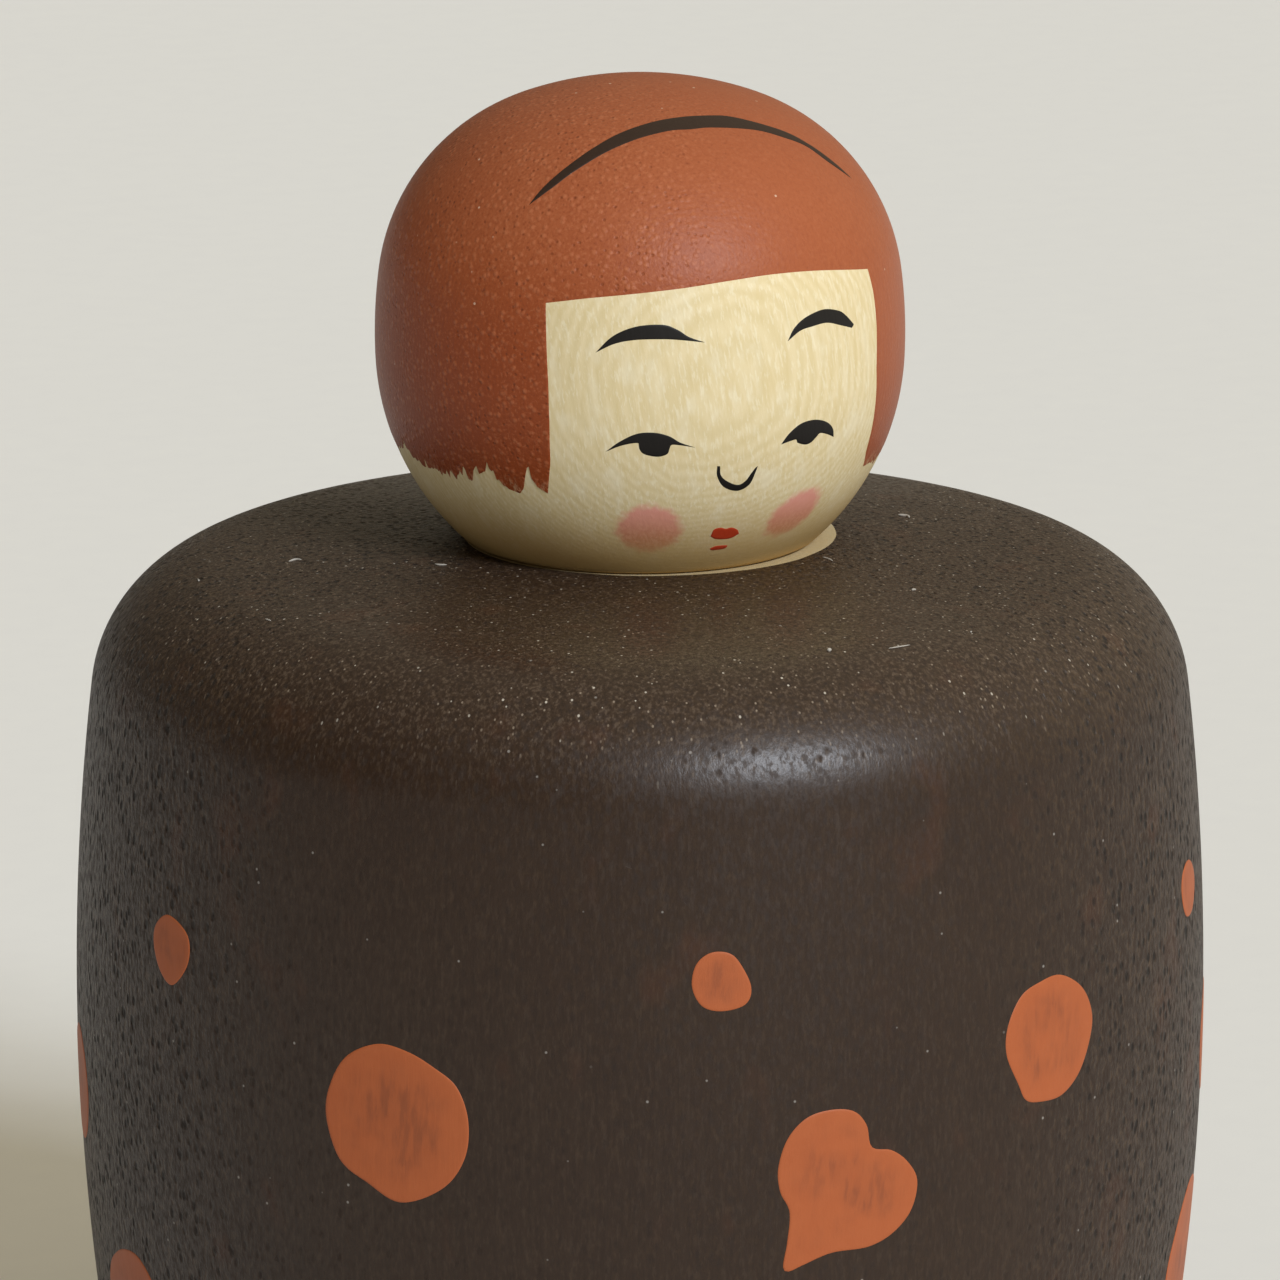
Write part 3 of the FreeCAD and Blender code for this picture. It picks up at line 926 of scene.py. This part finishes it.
stroke("hair_line",
       [(-51.8, 19.67), (-46.7, 20.53), (-41.5, 21.34), (-33.4, 22.16), (-23.1, 22.70),
        (-10.7, 22.98), (-0.8, 23.00), (7.8, 23.00), (19.2, 22.85), (28.4, 22.61),
        (35.6, 22.19), (42.1, 21.63), (45.9, 20.74), (51.9, 19.70)],
       [(-51.8, 19.67), (-49.2, 20.58), (-44.5, 21.51), (-37.9, 22.35), (-29.3, 22.95),
        (-16.3, 23.32), (-0.4, 23.45), (15.6, 23.39), (24.3, 23.24), (33.0, 22.85),
        (40.6, 22.31), (45.0, 21.62), (48.7, 20.71), (51.9, 19.70)],
       arc_finish, under=HAIR, along=160)

# %% [markdown]
# ## Dots and a heart
# The dots were dabbed with a round brush, so none is a true circle and most end in a little tip
# where the brush was lifted. Each is a polar grid: rings that shrink from the outline towards the
# middle. The heart is the same thing with a notch.
# Those that the photograph shows are laid where it shows them, as an angle and a height.
# %% Dots
SPOT, SPOT_BANK = 0.035, 0.15
HEART = (-1.3, 30.4, [(-3.2, -4.2), (-3.5, -3.9), (-3.3, -2.6), (-3.2, -1.0), (-3.7, 0.1),
                      (-3.8, 1.4), (-3.3, 2.9), (-2.3, 3.9), (-1.0, 4.2), (0.2, 4.0), (0.9, 3.2),
                      (1.2, 2.0), (2.3, 1.7), (3.2, 1.0), (3.8, -0.1), (3.5, -1.6), (2.5, -2.7),
                      (1.1, -3.3), (-0.9, -3.4), (-2.4, -3.9)])
SEEN_DOTS = [
    (-76.0, 39.9, [(-0.2, 1.8), (1.5, 1.1), (1.6, -0.4), (0.3, -1.8), (-0.9, -1.3), (-1.6, 0),
                   (-1.4, 1.1)]),
    (-46.4, 33.5, [(-1.0, 4.1), (0.7, 3.9), (2.2, 3.2), (3.4, 2.3), (4.0, 0.6), (3.8, -1.4),
                   (2.6, -3.1), (0.3, -4.1), (-1.6, -3.3), (-3.2, -2.3), (-4.0, -0.2),
                   (-3.8, 1.5), (-2.8, 3.2)]),
    (-14.1, 41.6, [(-0.6, 1.5), (0.3, 1.5), (0.9, 1.0), (1.5, -0.3), (1.2, -1.2), (0, -1.5),
                   (-1.0, -1.2), (-1.5, -0.2), (-1.3, 0.9)]),
    (22.6, 36.3, [(0.7, 3.2), (2.4, 2.2), (3.2, 0.7), (3.0, -0.7), (2.1, -2.3), (0.7, -3.2),
                  (-1.0, -3.2), (-1.9, -2.9), (-2.4, -2.0), (-3.2, -0.3), (-3.1, 1.2),
                  (-2.2, 2.6), (-0.9, 3.1)]),
]
ROUND_DOTS = [(52.5, 40.6, 1.5), (65.5, 30.8, 3.0), (57.5, 19.3, 4.5), (-87.0, 18.3, 3.9),
              (-104.0, 29.0, 3.0), (-22.0, 14.5, 3.3), (16.0, 11.5, 2.2), (88.0, 36.0, 3.6),
              (92.0, 13.5, 2.4), (113.0, 24.5, 3.9), (128.0, 40.8, 1.6), (146.0, 32.0, 3.2),
              (151.0, 14.0, 3.7), (178.0, 37.5, 2.4), (-172.0, 22.5, 4.2), (-146.0, 34.5, 3.5),
              (-133.0, 15.5, 2.6), (-119.0, 40.5, 1.7), (-57.0, 12.0, 2.4)]


def dabbed(radius):
    """A hand-dabbed outline: a circle with slow waves in its radius and a small tip below."""
    a = np.radians(np.arange(0, 360, 24))
    waves = ragged(np.degrees(a), (2, 3, 5), 0.035)
    tip = 0.1 * np.exp(-((a - math.radians(rng.uniform(240, 300))) / 0.22) ** 2)
    r = radius * (1 + waves + tip)
    return np.column_stack([r * np.cos(a), r * np.sin(a)])


def dot(name, angle, height, outline, rings_in=16):
    """A polar grid: centre + (outline - centre) * rho, with rho from 0 to 1."""
    edge = smooth(outline, 121, closed=True)
    edge[-1] = edge[0]
    rho = np.sin(np.linspace(0, np.pi / 2, rings_in))
    place = edge[:, None] * rho[None, :, None]
    wide = painted_body.radius(painted_body.s_at_height(height))
    a = angle + np.degrees(place[..., 0] / wide)
    s = painted_body.s_at_height(height) + place[..., 1]
    lift = COAT + bank((1 - rho)[None] * np.hypot(*edge.T)[:, None], SPOT_BANK, SPOT)
    outer = painted_body.point(a, s, lift)
    inner = painted_body.point(a[:, ::3], s[:, ::3], COAT - PAINT_UNDER)
    rim = np.stack([outer[:, -1], inner[:, -1]])
    marks = [np.broadcast_to(rho, outer.shape[:2]), np.broadcast_to(rho[::3], inner.shape[:2]),
             np.ones(rim.shape[:2])]
    return build(name, [outer, inner, rim], spot_finish, "body", marks=marks)


for number, (angle, height, outline) in enumerate(SEEN_DOTS, 1):
    dot("dot_%02d" % number, angle, height, outline)
for number, (angle, height, radius) in enumerate(ROUND_DOTS, len(SEEN_DOTS) + 1):
    dot("dot_%02d" % number, angle, height, dabbed(radius))
dot("heart", *HEART)

# %% [markdown]
# ## Lint
# A few fibres of lint lie on the shoulder. Each is a thin tube whose radius shrinks to nothing at
# both ends, carried along a short curve that rests on the paint.
# %% Lint fibres
LINT = [  # thickness, then angle and distance from the axis of each point
    (0.10, [(23.5, 24.7), (23.6, 25.1), (23.8, 25.7)]),
    (0.07, [(10.2, 25.7), (11.9, 25.4), (13.5, 25.5)]),
    (0.16, [(89.8, 14.8), (88.6, 15.2), (87.2, 15.2)]),
    (0.10, [(39.0, 10.9), (38.4, 11.3), (37.2, 11.7)]),
    (0.11, [(-100.5, 18.8), (-101.2, 18.4), (-100.5, 18.1)]),
    (0.09, [(-99.8, 25.5), (-99.0, 25.3), (-100.0, 25.1)]),
    (0.09, [(-76.5, 25.1), (-76.0, 24.8), (-75.2, 24.8)]),
    (0.10, [(-81.0, 12.5), (-79.6, 12.4), (-78.2, 12.1)]),
    (0.20, [(2.2, 23.1), (2.5, 23.1), (2.8, 23.1)]),
    (0.12, [(31.0, 17.6), (31.4, 17.6), (31.8, 17.7)]),
]


def fibre_tube(thickness, places, along=24, round_it=9):
    """centre(t) + radius(t) * (across cos b + outwards sin b), radius a root of 1 - (2t - 1)^2."""
    angle, r = smooth(places, along).T
    s = np.interp(-r, -painted_body.outline[ON_TOP, 0], painted_body.s[ON_TOP])
    t = np.linspace(-1, 1, along)
    radius = thickness / 2 * np.sqrt(1 - t ** 2)[:, None, None]
    centre = painted_body.point(angle, s, COAT + thickness * 0.3)
    outwards = painted_body.point(angle, s, 1.0) - painted_body.point(angle, s, 0.0)
    across = np.cross(np.gradient(centre, axis=0), outwards)
    across /= np.linalg.norm(across, axis=1)[:, None]
    b = np.linspace(0, 2 * np.pi, round_it)[None, :, None]
    return centre[:, None] + radius * (across[:, None] * np.cos(b) + outwards[:, None] * np.sin(b))


lint_finish = plain_paint("lint", "#9b948a", "#bdb6ac", 0.7)
build("lint_fibres", [fibre_tube(*each) for each in LINT], lint_finish, "body")
